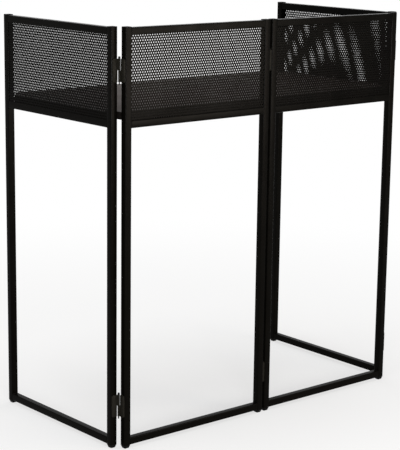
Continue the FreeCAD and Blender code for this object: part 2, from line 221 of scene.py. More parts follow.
class Shaper:
    """One mesh object that is shaped in edit mode by operators."""

    def __init__(self, name: str) -> None:
        """Takes the active object, and names it and its mesh."""
        self.obj = bpy.context.object
        self.obj.name = name
        self.obj.data.name = name

    @staticmethod
    def clear_selection() -> None:
        """Deselects every object, so that an operator acts on one piece alone."""
        bpy.ops.object.select_all(action="DESELECT")

    @classmethod
    def added(cls, name: str, primitive: Callable[..., object], **settings: object) -> "Shaper":
        """Adds a primitive, with its place and scale in its mesh.

        Args:
            name: name of the new object.
            primitive: operator that adds it.
            settings: its size and place.

        Returns:
            A shaper for the new object.
        """
        cls.clear_selection()
        primitive(**settings)
        bpy.ops.object.transform_apply(location=True, rotation=True, scale=True)
        return cls(name)

    @classmethod
    def block(cls, name: str, low: Sequence[float], high: Sequence[float]) -> "Shaper":
        """Adds a box between its lowest and its highest corner."""
        middle, size = (Vector(low) + Vector(high)) / 2, Vector(high) - Vector(low)
        return cls.added(name, bpy.ops.mesh.primitive_cube_add, size=1.0, location=middle, scale=size)

    @classmethod
    def rod(cls, name: str, radius: float, low: float, high: float, sides: int) -> "Shaper":
        """Adds a closed cylinder about the Z axis, between two heights."""
        return cls.added(
            name, bpy.ops.mesh.primitive_cylinder_add, vertices=sides, radius=radius,
            depth=high - low, location=(0.0, 0.0, (low + high) / 2))

    @classmethod
    def joined(cls, name: str, objects: Sequence[Object]) -> "Shaper":
        """Joins objects into the first of them.

        Args:
            name: name of the joined object.
            objects: the objects, of which all but the first are then gone.

        Returns:
            A shaper for the joined object.
        """
        cls.clear_selection()
        for obj in objects:
            obj.select_set(True)
        bpy.context.view_layer.objects.active = objects[0]
        bpy.ops.object.join()
        return cls(name)

    def activate(self) -> None:
        """Makes this object the only one selected, and the active one."""
        self.clear_selection()
        self.obj.select_set(True)
        bpy.context.view_layer.objects.active = self.obj

    @contextmanager
    def edit(self, element: Element, test: Callable[..., bool] | None = None) -> Iterator[None]:
        """Opens edit mode with a selection, and closes it afterwards.

        Args:
            element: what is selected.
            test: tells which of them, as in pick. Without it all are selected.

        Yields:
            Nothing, while edit mode is open.
        """
        self.activate()
        bpy.ops.object.mode_set(mode="EDIT")
        self.pick(element, test)
        yield
        bpy.ops.object.mode_set(mode="OBJECT")

    def pick(self, element: Element, test: Callable[..., bool] | None = None) -> None:
        """Selects points, edges or faces in edit mode, and nothing else.

        Args:
            element: what is selected.
            test: tells it from a point's place, an edge's two ends or a face's middle and normal.
                Without it all are selected.
        """
        bpy.ops.mesh.select_mode(type=element.value)
        bpy.ops.mesh.select_all(action="DESELECT" if test else "SELECT")
        if not test:
            return
        mesh = bmesh.from_edit_mesh(self.obj.data)
        items, facts = {
            Element.POINT: (mesh.verts, lambda point: (point.co,)),
            Element.EDGE: (mesh.edges, lambda edge: (edge.verts[0].co, edge.verts[1].co)),
            Element.FACE: (mesh.faces, lambda face: (face.calc_center_median(), face.normal)),
        }[element]
        for item in items:
            if test(*facts(item)):
                item.select_set(True)
        bmesh.update_edit_mesh(self.obj.data)

    @staticmethod
    def widen(share: float, centre: Sequence[float] = ORIGIN) -> None:
        """Scales what is selected in edit mode, level and about a centre."""
        bpy.ops.transform.resize(value=(share, share, 1.0), center_override=centre)

    @staticmethod
    def extrude(rise: float = 0.0) -> None:
        """Extrudes the faces that are selected in edit mode, and moves them straight up."""
        bpy.ops.mesh.extrude_region_move(TRANSFORM_OT_translate={"value": (0.0, 0.0, rise)})

    def face_outwards(self) -> None:
        """Turns every face of the mesh in edit mode outwards."""
        self.pick(Element.FACE)
        bpy.ops.mesh.normals_make_consistent(inside=False)

    def round_edges(self, test: EdgeTest, size: float, segments: int) -> None:
        """Rounds the edges that a test takes, from a distance on, with so many faces across."""
        with self.edit(Element.EDGE, test):
            bpy.ops.mesh.bevel(offset=size, segments=segments, affect="EDGES", clamp_overlap=True)

    def step(self, test: FaceTest, inset: float, rise: float) -> None:
        """Insets faces and extrudes what is left of them.

        Args:
            test: says from a face's middle and normal whether it is taken.
            inset: width of the border that is left.
            rise: how far up the inner face moves.
        """
        with self.edit(Element.FACE, test):
            bpy.ops.mesh.inset(thickness=inset, use_individual=True)
            self.extrude(rise)

    def cut_line(self, place: Sequence[float], normal: Sequence[float], drop: bool = False) -> None:
        """Cuts the whole mesh along a plane, and deletes what lies beyond it if it is to drop."""
        with self.edit(Element.FACE):
            bpy.ops.mesh.bisect(plane_co=place, plane_no=normal, clear_outer=drop, threshold=CUT_TOLERANCE)

    def merge(self, distance: float) -> None:
        """Merges points that lie no further apart than a distance."""
        with self.edit(Element.POINT):
            bpy.ops.mesh.remove_doubles(threshold=distance)

    def modify(self, kind: str, **settings: object) -> None:
        """Adds a modifier and applies it.

        Args:
            kind: kind of modifier.
            settings: its properties.
        """
        self.activate()
        modifier = self.obj.modifiers.new(kind.lower(), kind)
        for name, value in settings.items():
            setattr(modifier, name, value)
        bpy.ops.object.modifier_apply(modifier=modifier.name)

    def combine(self, other: "Shaper", operation: str) -> None:
        """Adds another closed shape by UNION, or cuts it away by DIFFERENCE, and deletes it."""
        self.modify("BOOLEAN", object=other.obj, operation=operation, solver="EXACT")
        discard((other.obj,))

    def smooth(self) -> Object:
        """Shades rounds smooth and keeps flat faces flat.

        Returns:
            The finished object.
        """
        self.activate()
        bpy.ops.object.shade_smooth_by_angle(angle=SMOOTH_ANGLE)
        return self.obj


def copy_of(master: Object, name: str, matrix: Matrix) -> Object:
    """Copies a modelled piece to another place, with a mesh of its own.

    Args:
        master: the piece that is copied.
        name: name of the copy.
        matrix: where the copy goes.

    Returns:
        The copy, which sits at the origin with its place in its mesh.
    """
    copy = master.copy()
    copy.data = master.data.copy()
    copy.name = name
    copy.data.name = name
    copy.data.transform(matrix)
    bpy.context.scene.collection.objects.link(copy)
    return copy


def discard(masters: Sequence[Object]) -> None:
    """Deletes modelled shapes that have served their turn."""
    for master in masters:
        bpy.data.meshes.remove(master.data)


@dataclass(frozen=True)
class Piece:
    """What the finished booth needs to know of one piece."""

    body: str
    slot: Slot
    nodes: tuple[str, ...] = ()

    def fit(self, obj: Object, *materials: Material) -> None:
        """Dresses a modelled piece, lets it ride on its body and stand for its nodes.

        Args:
            obj: the modelled piece.
            materials: its materials, in the order of its slots.
        """
        obj.data.materials.clear()
        for material in materials:
            obj.data.materials.append(material)
        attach(obj, self.body)
        if self.nodes:
            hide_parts(*self.nodes)
        LOG.info("%s rides on %s: %d faces", obj.name, self.body, len(obj.data.polygons))


class NodeWriter:
    """Adds nodes to one shader tree and links them."""

    def __init__(self, tree: Tree) -> None:
        """Keeps the tree that is written to."""
        self.tree = tree

    @classmethod
    def fresh(cls, owner: Material | bpy.types.World) -> "NodeWriter":
        """Empties the shader tree of a material or a world.

        Args:
            owner: the material or world.

        Returns:
            A writer for its empty tree.
        """
        owner.use_nodes = True
        owner.node_tree.nodes.clear()
        return cls(owner.node_tree)

    def put(self, socket: Socket, value: object) -> None:
        """Sets an input, or links it to an output.

        Args:
            socket: the input.
            value: a number, a colour or an output socket.
        """
        if isinstance(value, Socket):
            self.tree.links.new(value, socket)
        elif socket.type == "RGBA":
            socket.default_value = (*value, 1.0)
        else:
            socket.default_value = value

    def add(self, kind: str, effect: Tree | None = None, **inputs: object) -> Node:
        """Adds a node and fills its inputs.

        Args:
            kind: name of the node's type, without its prefix.
            effect: the shared group that a group node places.
            inputs: values or output sockets by the input's name, with _ for a space.

        Returns:
            The new node.
        """
        node = self.tree.nodes.new(f"ShaderNode{kind}")
        if effect:
            node.node_tree = effect
        for name, value in inputs.items():
            self.put(node.inputs[name.replace("_", " ")], value)
        return node

    def math(self, operation: str, *values: object, kind: str = "Math") -> Socket:
        """Adds a sum that gives a number.

        Args:
            operation: name of the sum.
            values: its values or output sockets, in order.
            kind: Math for numbers or VectorMath for vectors.

        Returns:
            The output socket.
        """
        node = self.add(kind)
        node.operation = operation
        for socket, value in zip(node.inputs, values):
            self.put(socket, value)
        return node.outputs["Value"]

    def ramp(self, value: Socket, span: Span, to_span: Span = (0.0, 1.0)) -> Socket:
        """Maps a value smoothly from one range to another and clamps it.

        Args:
            value: socket of the value.
            span: start and end of its range.
            to_span: what the start and the end become.

        Returns:
            The output socket.
        """
        node = self.add("MapRange", Value=value)
        node.interpolation_type = "SMOOTHSTEP"
        for name, number in zip(("From Min", "From Max", "To Min", "To Max"), (*span, *to_span)):
            node.inputs[name].default_value = number
        return node.outputs["Result"]

    def mix(self, share: object, first: object, second: object) -> Socket:
        """Mixes two colours.

        Args:
            share: how much of the second there is, a number or a socket.
            first: the first colour or socket.
            second: the second colour or socket.

        Returns:
            The output socket.
        """
        node = self.add("Mix")
        node.data_type = "RGBA"
        inputs = [socket for socket in node.inputs if socket.enabled]
        for socket, value in zip(inputs, (share, first, second)):
            self.put(socket, value)
        return next(socket for socket in node.outputs if socket.enabled)

    def noise(self, vector: Socket, scale: object, detail: float) -> Socket:
        """Adds a noise with so many waves in a metre and finer layers, and gives its value."""
        return self.add("TexNoise", Vector=vector, Scale=scale, Detail=detail).outputs[0]


@dataclass
class Effects:
    """Shader node groups that several finishes share, each built once."""

    finer_scale: float = 3.1
    finer_share: float = 0.35
    edge_samples: int = 4
    edge_bend: Span = (0.02, 0.22)
    patch_span: Span = (0.4, 0.7)
    upward_span: Span = (0.6, 1.0)
    speck_scale: float = 900.0
    speck_span: Span = (0.45, 0.75)

    def __post_init__(self) -> None:
        """Builds the groups."""
        self.grain = self.build_grain()
        # Lighter edges: a painted highlight along the edges, with some rubbing
        self.wear_and_highlight = self.build_wear_and_highlight()
        self.marks = self.build_marks()

    @staticmethod
    def new_group(
            name: str, numbers: Sequence[str], results: Sequence[str]) -> tuple[NodeWriter, Node, Node]:
        """Makes an empty group that reads coordinates and numbers.

        Args:
            name: name of the group.
            numbers: names of the numbers that it takes.
            results: names of the values that it puts out.

        Returns:
            A writer for the group, its input node and its output node.
        """
        tree = bpy.data.node_groups.new(name, "ShaderNodeTree")
        tree.interface.new_socket("Vector", in_out="INPUT", socket_type="NodeSocketVector")
        for side, labels in (("INPUT", numbers), ("OUTPUT", results)):
            for label in labels:
                tree.interface.new_socket(label, in_out=side, socket_type="NodeSocketFloat")
        return NodeWriter(tree), tree.nodes.new("NodeGroupInput"), tree.nodes.new("NodeGroupOutput")

    def build_grain(self) -> Tree:
        """Builds the fine uneven skin of a coat or a moulding.

        Returns:
            A group with the height of the skin, from 0 to about 1.
        """
        write, given, result = self.new_group("surface_grain", ("Scale",), ("Height",))
        place, scale = given.outputs["Vector"], given.outputs["Scale"]
        coarse = write.noise(place, scale, detail=2.0)
        fine = write.noise(place, write.math("MULTIPLY", scale, self.finer_scale), detail=1.0)
        write.put(result.inputs["Height"], write.math("MULTIPLY_ADD", fine, self.finer_share, coarse))
        return write.tree

    def build_wear_and_highlight(self) -> Tree:
        """Builds a mask of lighter edges: a painted highlight along the edges, with some rubbing.

        Returns:
            A group with the mask, 1 along an edge and 0 on flat faces.
        """
        # The mask paints a highlight, with some rubbing, in patches along the edges
        write, given, result = self.new_group("edge_highlight_and_wear", ("Radius", "Patches"), ("Mask",))
        rounded = write.add("Bevel", Radius=given.outputs["Radius"])
        rounded.samples = self.edge_samples
        true_normal = write.add("NewGeometry").outputs["True Normal"]
        across = write.math("DOT_PRODUCT", rounded.outputs[0], true_normal, kind="VectorMath")
        edge = write.ramp(write.math("SUBTRACT", 1.0, across), self.edge_bend)
        patches = write.noise(given.outputs["Vector"], given.outputs["Patches"], detail=3.0)
        mask = write.math("MULTIPLY", edge, write.ramp(patches, self.patch_span))
        write.put(result.inputs["Mask"], mask)
        return write.tree

    def build_marks(self) -> Tree:
        """Builds the soft clouds that handling and dust leave.

        Returns:
            A group with their value, about 0.5 on average, and a mask of dust on what faces up.
        """
        write, given, result = self.new_group("handling_marks", ("Scale",), ("Cloud", "Dust"))
        place = given.outputs["Vector"]
        write.put(result.inputs["Cloud"], write.noise(place, given.outputs["Scale"], detail=4.0))
        normal = write.add("NewGeometry").outputs["Normal"]
        upward = write.ramp(write.add("SeparateXYZ", Vector=normal).outputs["Z"], self.upward_span)
        specks = write.ramp(write.noise(place, self.speck_scale, detail=2.0), self.speck_span)
        write.put(result.inputs["Dust"], write.math("MULTIPLY", upward, specks))
        return write.tree


@dataclass(frozen=True)
class Surface:
    """What a finish is written with: writer, object coordinates, shared effects and handling marks."""

    write: NodeWriter
    place: Socket
    effects: Effects
    marks: Node


def shade(colour: Colour, share: float) -> Colour:
    """Darkens or lightens a colour to a share of itself."""
    return tuple(share * channel for channel in colour)


@dataclass(frozen=True)
class Finish:
    """A surface: its colours, its gloss, its skin and how far its edges are lightened, by a painted
    highlight and by rubbing.
    """

    name: str
    # Colour of the lighter edges: a painted highlight, with some rubbing
    colour: Colour
    rubbed_and_highlight: Colour
    roughness: float
    specular: float
    grain_scale: float
    grain_depth: float
    ior: float = 1.5
    # How far in and how strongly the edges take the painted highlight and rubbing
    wear_and_highlight_radius: float = 0.8 * MM
    wear_and_highlight_share: float = 0.5
    patch_scale: float = 112.0
    dust: Colour = (0.20, 0.19, 0.18)
    dust_share: float = 0.06
    cloud_scale: float = 14.0
    cloud_span: Span = (0.25, 0.75)
    cloud_roughness: float = 0.12
    cloud_colour: float = 0.25

    def material(self, effects: Effects) -> Material:
        """Writes the finish as a material.

        Args:
            effects: the shared node groups.

        Returns:
            The material.
        """
        material = bpy.data.materials.new(self.name)
        write = NodeWriter.fresh(material)
        place = write.add("TexCoord").outputs["Object"]
        marks = write.add("Group", effects.marks, Vector=place, Scale=self.cloud_scale)
        on = Surface(write, place, effects, marks)
        bump = write.add("Bump", Strength=1.0, Distance=self.grain_depth, Height=self.skin(on))
        shader = write.add(
            "BsdfPrincipled", IOR=self.ior, Specular_IOR_Level=self.specular,
            Base_Color=self.surface_colour(on), Roughness=self.surface_roughness(on),
            Normal=bump.outputs[0])
        write.add("OutputMaterial", Surface=shader.outputs[0])
        return material

    def surface_colour(self, on: Surface) -> Socket:
        """Writes the colour, with clouds, lighter edges of painted highlight and rubbing, and dust.

        Args:
            on: what it is written with.

        Returns:
            The socket of the colour.
        """
        write = on.write
        # Edges are lightened towards the edge colour: a painted highlight, with some rubbing
        wear_and_highlight = write.add(
            "Group", on.effects.wear_and_highlight, Vector=on.place, Radius=self.wear_and_highlight_radius, Patches=self.patch_scale)
        worn_and_highlight_share = write.math("MULTIPLY", wear_and_highlight.outputs["Mask"], self.wear_and_highlight_share)
        dusty_share = write.math("MULTIPLY", on.marks.outputs["Dust"], self.dust_share)
        darker = shade(self.colour, 1.0 - self.cloud_colour)
        lighter = shade(self.colour, 1.0 + self.cloud_colour)
        ground = write.mix(on.marks.outputs["Cloud"], darker, lighter)
        return write.mix(dusty_share, write.mix(worn_and_highlight_share, ground, self.rubbed_and_highlight), self.dust)

    def surface_roughness(self, on: Surface) -> Socket:
        """Writes the roughness, a little uneven from handling."""
        to_span = (self.roughness - self.cloud_roughness / 2, self.roughness + self.cloud_roughness / 2)
        return on.write.ramp(on.marks.outputs["Cloud"], self.cloud_span, to_span)

    def skin(self, on: Surface) -> Socket:
        """Writes the height of the fine skin."""
        grain = on.write.add("Group", on.effects.grain, Vector=on.place, Scale=self.grain_scale)
        return grain.outputs["Height"]


@dataclass(frozen=True)
class Laminate(Finish):
    """A printed board surface with fine pores along the board."""

    pore_scale: float = 160.0
    pore_stretch: float = 14.0
    pore_span: Span = (0.35, 0.65)
    pore_depth: float = 0.5
    streak_share: float = 0.75

    def pores(self, on: Surface) -> Socket:
        """Writes fine streaks along X, with a value from 0 to 1."""
        drawn = on.write.add("Mapping", Vector=on.place, Scale=(1.0 / self.pore_stretch, 1.0, 1.0))
        return on.write.ramp(on.write.noise(drawn.outputs[0], self.pore_scale, detail=5.0), self.pore_span)

    def surface_colour(self, on: Surface) -> Socket:
        """Writes the colour with the streaks of the print over it."""
        streak = shade(self.colour, self.streak_share)
        return on.write.mix(self.pores(on), streak, super().surface_colour(on))

    def skin(self, on: Surface) -> Socket:
        """Writes the height of the skin with its pores."""
        return on.write.math("MULTIPLY_ADD", self.pores(on), self.pore_depth, super().skin(on))


class Finishes:
    """The booth's materials, one for each finish."""

    def __init__(self) -> None:
        """Writes every material."""
        effects = Effects()
        # The second colour of each finish is its lighter edge: a painted highlight, with some rubbing
        self.frame = Finish(
            "black_powder_coat", (0.0020, 0.0017, 0.0012), (0.008, 0.007, 0.006),
            roughness=0.25, specular=0.02, grain_scale=620.0, grain_depth=0.03 * MM).material(effects)
        self.sheet = Finish(
            "sheet_powder_coat", (0.0018, 0.0015, 0.0011), (0.008, 0.007, 0.006),
            roughness=0.27, specular=0.02, grain_scale=760.0, grain_depth=0.02 * MM,
            wear_and_highlight_radius=0.3 * MM).material(effects)
        self.hinge = Finish(
            "hinge_coat", (0.0095, 0.0086, 0.0066), (0.03, 0.028, 0.022),
            roughness=0.36, specular=0.035, grain_scale=700.0, grain_depth=0.04 * MM).material(effects)
        self.pin = Finish(
            "blackened_pin", (0.005, 0.005, 0.0046), (0.03, 0.03, 0.03),
            roughness=0.34, specular=0.04, grain_scale=1500.0, grain_depth=0.01 * MM).material(effects)
        self.cap = Finish(
            "cap_polyethylene", (0.0030, 0.0029, 0.0027), (0.010, 0.010, 0.010),
            roughness=0.50, specular=0.03, grain_scale=1400.0, grain_depth=0.03 * MM).material(effects)
        self.foot = Finish(
            "foot_polyethylene", (0.0030, 0.0029, 0.0027), (0.010, 0.010, 0.010),
            roughness=0.54, specular=0.03, grain_scale=1200.0, grain_depth=0.04 * MM,
            dust_share=0.0).material(effects)
        self.laminate = Laminate(
            "shelf_laminate", (0.030, 0.022, 0.019), (0.09, 0.08, 0.07),
            roughness=0.55, specular=0.07, grain_scale=900.0, grain_depth=0.02 * MM).material(effects)
        self.edge_band = Finish(
            "shelf_edge_band", (0.008, 0.0068, 0.0060), (0.02, 0.02, 0.02),
            roughness=0.50, specular=0.03, grain_scale=900.0, grain_depth=0.02 * MM).material(effects)


@dataclass
class WeldBead:
    """A rippled bead of weld under its coat."""

    radius: float = 1.5 * MM
    ripple: float = 1.7 * MM
    fewest_ripples: int = 3
    neck: float = 0.82
    sides: int = 10

    def build(self, name: str, length: float) -> Object:
        """Models a bead along Z, about the origin.

        Args:
            name: name of the bead.
            length: length of the bead.

        Returns:
            The bead.
        """
        ripples = max(self.fewest_ripples, round(length / self.ripple))
        half = length / 2
        step = half / ripples
        bead = Shaper.rod(name, self.radius, -half, half, self.sides)
        with bead.edit(Element.EDGE, runs_along(Axis.Z, half)):
            bpy.ops.mesh.subdivide(number_cuts=2 * ripples - 1)
            bead.pick(Element.POINT, lambda point: round((point.z + half) / step) % 2 == 0)
            bead.widen(self.neck)
        return bead.smooth()


@dataclass
class PanelKit:
    """Tubes, sheet, caps, feet and welds of one panel, in the panel's own frame."""

    finishes: Finishes
    corner_radius: float = 2.6 * MM
    corner_segments: int = 6
    wall: float = 1.2 * MM
    hole_diameter: float = 4.0 * MM
    hole_pitch: float = 7.86 * MM
    hole_sides: int = 12
    hole_rim: float = 0.15 * MM
    rim_tolerance: float = 0.015 * MM
    direction_tolerance: float = math.radians(6)
    cap_round: float = 0.8 * MM
    plug_inset: float = 1.35 * MM
    plug_length: float = 12.0 * MM
    foot_bottom: float = 14.0 * MM
    foot_round: float = 1.2 * MM
    weld_depth: float = 1.6 * MM
    weld: WeldBead = field(default_factory=WeldBead)

    def __post_init__(self) -> None:
        """Reads the panel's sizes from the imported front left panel."""
        first_low, first_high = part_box("front_left_corner_upright")
        _, last_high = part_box("front_left_centre_upright")
        self.tube = first_high.x - first_low.x
        self.width = last_high.x - first_low.x
        self.low = first_low.z
        self.high = first_high.z
        self.cap_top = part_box("front_left_tube_caps")[1].z
        self.rails = {}
        for rail in ("top", "shelf", "bottom"):
            rail_low, rail_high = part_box(f"front_left_{rail}_rail")
            self.rails[rail] = (rail_low.z, rail_high.z)
        sheet_low, sheet_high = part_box("front_left_perforated_sheet")
        self.sheet_outer = sheet_low.y - first_low.y
        self.sheet_inner = sheet_high.y - first_low.y

    def tube_piece(self, name: str, low: Sequence[float], high: Sequence[float], run: Axis) -> Object:
        """Models a square tube with rounded corners.

        Args:
            name: name of the tube.
            low: its lowest corner.
            high: its highest corner.
            run: axis that it runs along.

        Returns:
            The tube.
        """
        tube = Shaper.block(name, low, high)
        tube.round_edges(runs_along(run, self.tube), self.corner_radius, self.corner_segments)
        with tube.edit(Element.FACE, lambda middle, normal: abs(normal[run.value]) > SQUARE_ON):
            bpy.ops.mesh.inset(thickness=self.wall, use_individual=True)
            bpy.ops.mesh.bridge_edge_loops()
            tube.face_outwards()
        return tube.smooth()

    def upright(self) -> Object:
        """Models the first upright."""
        return self.tube_piece(
            "upright_master", (0.0, 0.0, self.low), (self.tube, self.tube, self.high), Axis.Z)

    def rail(self, rail: str) -> Object:
        """Models one rail between the uprights."""
        low, high = self.rails[rail]
        end = self.width - self.tube
        return self.tube_piece(
            f"{rail}_rail_master", (self.tube, 0.0, low), (end, self.tube, high), Axis.X)

    def cap(self) -> Object:
        """Models a moulded cap with its plug in the first upright.

        Returns:
            The cap.
        """
        cap = Shaper.block("cap_master", (0.0, 0.0, self.high), (self.tube, self.tube, self.cap_top))
        cap.round_edges(runs_along(Axis.Z, self.cap_round), self.corner_radius, self.corner_segments)
        cap.round_edges(lies_at(Axis.Z, self.cap_top), self.cap_round, self.corner_segments)
        cap.step(faces_down, self.plug_inset, -self.plug_length)
        return cap.smooth()

    def foot(self) -> Object:
        """Models a tapered glide foot with its plug in the first upright.

        Returns:
            The foot.
        """
        foot = Shaper.block("foot_master", ORIGIN, (self.tube, self.tube, self.low))
        with foot.edit(Element.FACE, faces_down):
            foot.widen(self.foot_bottom / self.tube, (self.tube / 2, self.tube / 2, 0.0))
        foot.round_edges(runs_along(Axis.Z, self.foot_round), self.corner_radius, self.corner_segments)
        foot.round_edges(lies_at(Axis.Z, 0.0), self.foot_round, self.corner_segments)
        foot.step(faces_up, self.plug_inset, self.plug_length)
        return foot.smooth()

    def sheet(self, panel: PanelPlace) -> Object:
        """Models the perforated sheet of the top bay, with whole and cut holes right up to the tubes.

        Args:
            panel: the panel, whose sheet was cut from the punched stock at a place of its own.

        Returns:
            The sheet, in the panel's own frame.
        """
        bay_low = self.rails["shelf"][1]
        bay_width = self.width - 2 * self.tube
        bay_height = self.rails["top"][0] - bay_low
        row = self.hole_pitch * math.sin(math.pi / 3)
        sheet = self.hole_cell(f"{panel.label}_fine_sheet")
        with sheet.edit(Element.FACE):
            bpy.ops.mesh.duplicate_move(TRANSFORM_OT_translate={"value": (self.hole_pitch / 2, row, 0.0)})
        columns = math.ceil(bay_width / self.hole_pitch) + 2
        pairs = math.ceil(bay_height / (2 * row)) + 1
        for count, offset in ((columns, (self.hole_pitch, 0.0, 0.0)), (pairs, (0.0, 2 * row, 0.0))):
            sheet.modify(
                "ARRAY", count=count, use_relative_offset=False, use_constant_offset=True,
                constant_offset_displace=offset)
        sheet.merge(NEAR)
        first = Vector((self.hole_pitch / 2 - panel.hole_along, row - panel.hole_up, 0.0))
        last = first + Vector((bay_width, bay_height, 0.0))
        for corner, way in ((first, -1), (last, 1)):
            sheet.cut_line(corner, (way, 0, 0), drop=True)
            sheet.cut_line(corner, (0, way, 0), drop=True)
        thickness = self.sheet_inner - self.sheet_outer
        sheet.modify("SOLIDIFY", thickness=thickness, offset=0.0, use_even_offset=True)
        self.round_rims(sheet, first, last)
        middle_depth = (self.sheet_outer + self.sheet_inner) / 2
        upright = Matrix.Rotation(math.pi / 2, 4, "X")
        stand = Matrix.Translation((self.tube, middle_depth, bay_low)) @ upright
        sheet.obj.data.transform(stand @ Matrix.Translation(-first))
        return sheet.smooth()

    def hole_cell(self, name: str) -> Shaper:
        """Models the six-sided cell of sheet round one hole.

        Args:
            name: name of the new object.

        Returns:
            A shaper for the cell, level about the origin.
        """
        mouth_radius = self.hole_diameter / 2 + self.hole_rim
        corner_radius = self.hole_pitch / math.sqrt(3)
        side = math.pi / 3

        def on_side(point: Vector) -> bool:
            """Tells whether a point of the outline lies midway along one of its six sides."""
            off = math.remainder(math.atan2(point.y, point.x), side)
            return point.length > mouth_radius + NEAR and abs(off) < self.direction_tolerance

        cell = Shaper.added(
            name, bpy.ops.mesh.primitive_circle_add, vertices=self.hole_sides, radius=mouth_radius,
            fill_type="NOTHING")
        with cell.edit(Element.EDGE):
            bpy.ops.mesh.extrude_edges_move()
            cell.widen(corner_radius / mouth_radius)
            cell.pick(Element.POINT, on_side)
            cell.widen(math.cos(side / 2))
            cell.face_outwards()
        return cell

    def round_rims(self, sheet: Shaper, low: Vector, high: Vector) -> None:
        """Narrows each hole halfway through the sheet, so that its coated rims are rounded.

        Args:
            sheet: the sheet, level about the origin's height, with its thickness.
            low: lowest corner of its outline.
            high: highest corner of its outline.
        """
        edge = self.rim_tolerance

        def in_hole(point: Vector) -> bool:
            """Tells whether a point of a wall lies clear of the outline."""
            return low.x + edge < point.x < high.x - edge and low.y + edge < point.y < high.y - edge

        with sheet.edit(Element.EDGE, lambda start, end: start.z * end.z < 0 and in_hole(start)):
            bpy.ops.mesh.subdivide(number_cuts=1)
            sheet.pick(Element.POINT, lambda point: abs(point.z) < edge and in_hole(point))
            bpy.ops.transform.shrink_fatten(value=self.hole_rim)

    def welds(self) -> Object:
        """Models the weld beads where the rails meet the uprights.

        Returns:
            All beads of one panel as one piece.
        """
        across = self.weld.build("weld_across", self.tube - 2 * self.corner_radius)
        behind_length = self.tube - self.corner_radius - self.sheet_inner - self.weld.ripple
        behind = self.weld.build("weld_behind", behind_length)
        open_side = (across, self.tube / 2)
        sheet_side = (behind, (self.sheet_inner + self.tube) / 2)
        inner_corners = {
            "top": {0: sheet_side}, "shelf": {0: open_side, 1: sheet_side}, "bottom": {1: open_side}}
        level = Matrix.Rotation(math.pi / 2, 4, "X")
        beads = []
        for rail, heights in self.rails.items():
            for end in (self.tube, self.width - self.tube):
                for depth in (self.weld_depth, self.tube - self.weld_depth):
                    place = Matrix.Translation((end, depth, sum(heights) / 2))
                    beads.append(copy_of(across, "weld", place))
                for side, (master, depth) in inner_corners[rail].items():
                    place = Matrix.Translation((end, depth, heights[side])) @ level
                    beads.append(copy_of(master, "weld", place))
        discard((across, behind))
        return Shaper.joined("welds_master", beads).obj

    def build(self) -> None:
        """Models each kind of piece and fits it to the four panels."""
        upright = self.upright()
        cap = self.cap()
        foot = self.foot()
        rails = {name: self.rail(name) for name in self.rails}
        welds = self.welds()
        for panel in PanelPlace:
            frame = panel.frame()
            caps = []
            feet = []
            for end, along in zip(panel.ends, (0.0, self.width - self.tube)):
                place = frame @ Matrix.Translation((along, 0.0, 0.0))
                self.fit_tube(panel, f"{end}_upright", upright, place)
                caps.append(copy_of(cap, f"{panel.label}_{end}_cap", place))
                feet.append(copy_of(foot, f"{panel.label}_{end}_foot", place))
            self.fit_moulded(panel, "tube_caps", caps, Slot.CAP, self.finishes.cap)
            self.fit_moulded(panel, "feet", feet, Slot.FOOT, self.finishes.foot)
            for name, rail in rails.items():
                self.fit_tube(panel, f"{name}_rail", rail, frame)
            sheet = self.sheet(panel)
            sheet.data.transform(frame)
            node = f"{panel.label}_perforated_sheet"
            Piece(panel.body, Slot.SHEET, (node,)).fit(sheet, self.finishes.sheet)
            beads = copy_of(welds, f"{panel.label}_welds", frame)
            Piece(panel.body, Slot.FRAME).fit(beads, self.finishes.frame)
        discard((upright, cap, foot, welds, *rails.values()))

    def fit_tube(self, panel: PanelPlace, part: str, master: Object, place: Matrix) -> None:
        """Fits a copy of an upright or a rail to a panel.

        Args:
            panel: the panel.
            part: last part of the node's name.
            master: the tube that is copied.
            place: where the copy goes.
        """
        node = f"{panel.label}_{part}"
        tube = copy_of(master, f"{node}_tube", place)
        Piece(panel.body, Slot.FRAME, (node,)).fit(tube, self.finishes.frame)

    @staticmethod
    def fit_moulded(panel: PanelPlace, part: str, pair: Sequence[Object],
                    slot: Slot, material: Material) -> None:
        """Joins the two caps or feet of a panel and fits them for a node with their material; the slot is
        only kept on the piece.
        """
        node = f"{panel.label}_{part}"
        Piece(panel.body, slot, (node,)).fit(Shaper.joined(f"{node}_moulded", pair).obj, material)


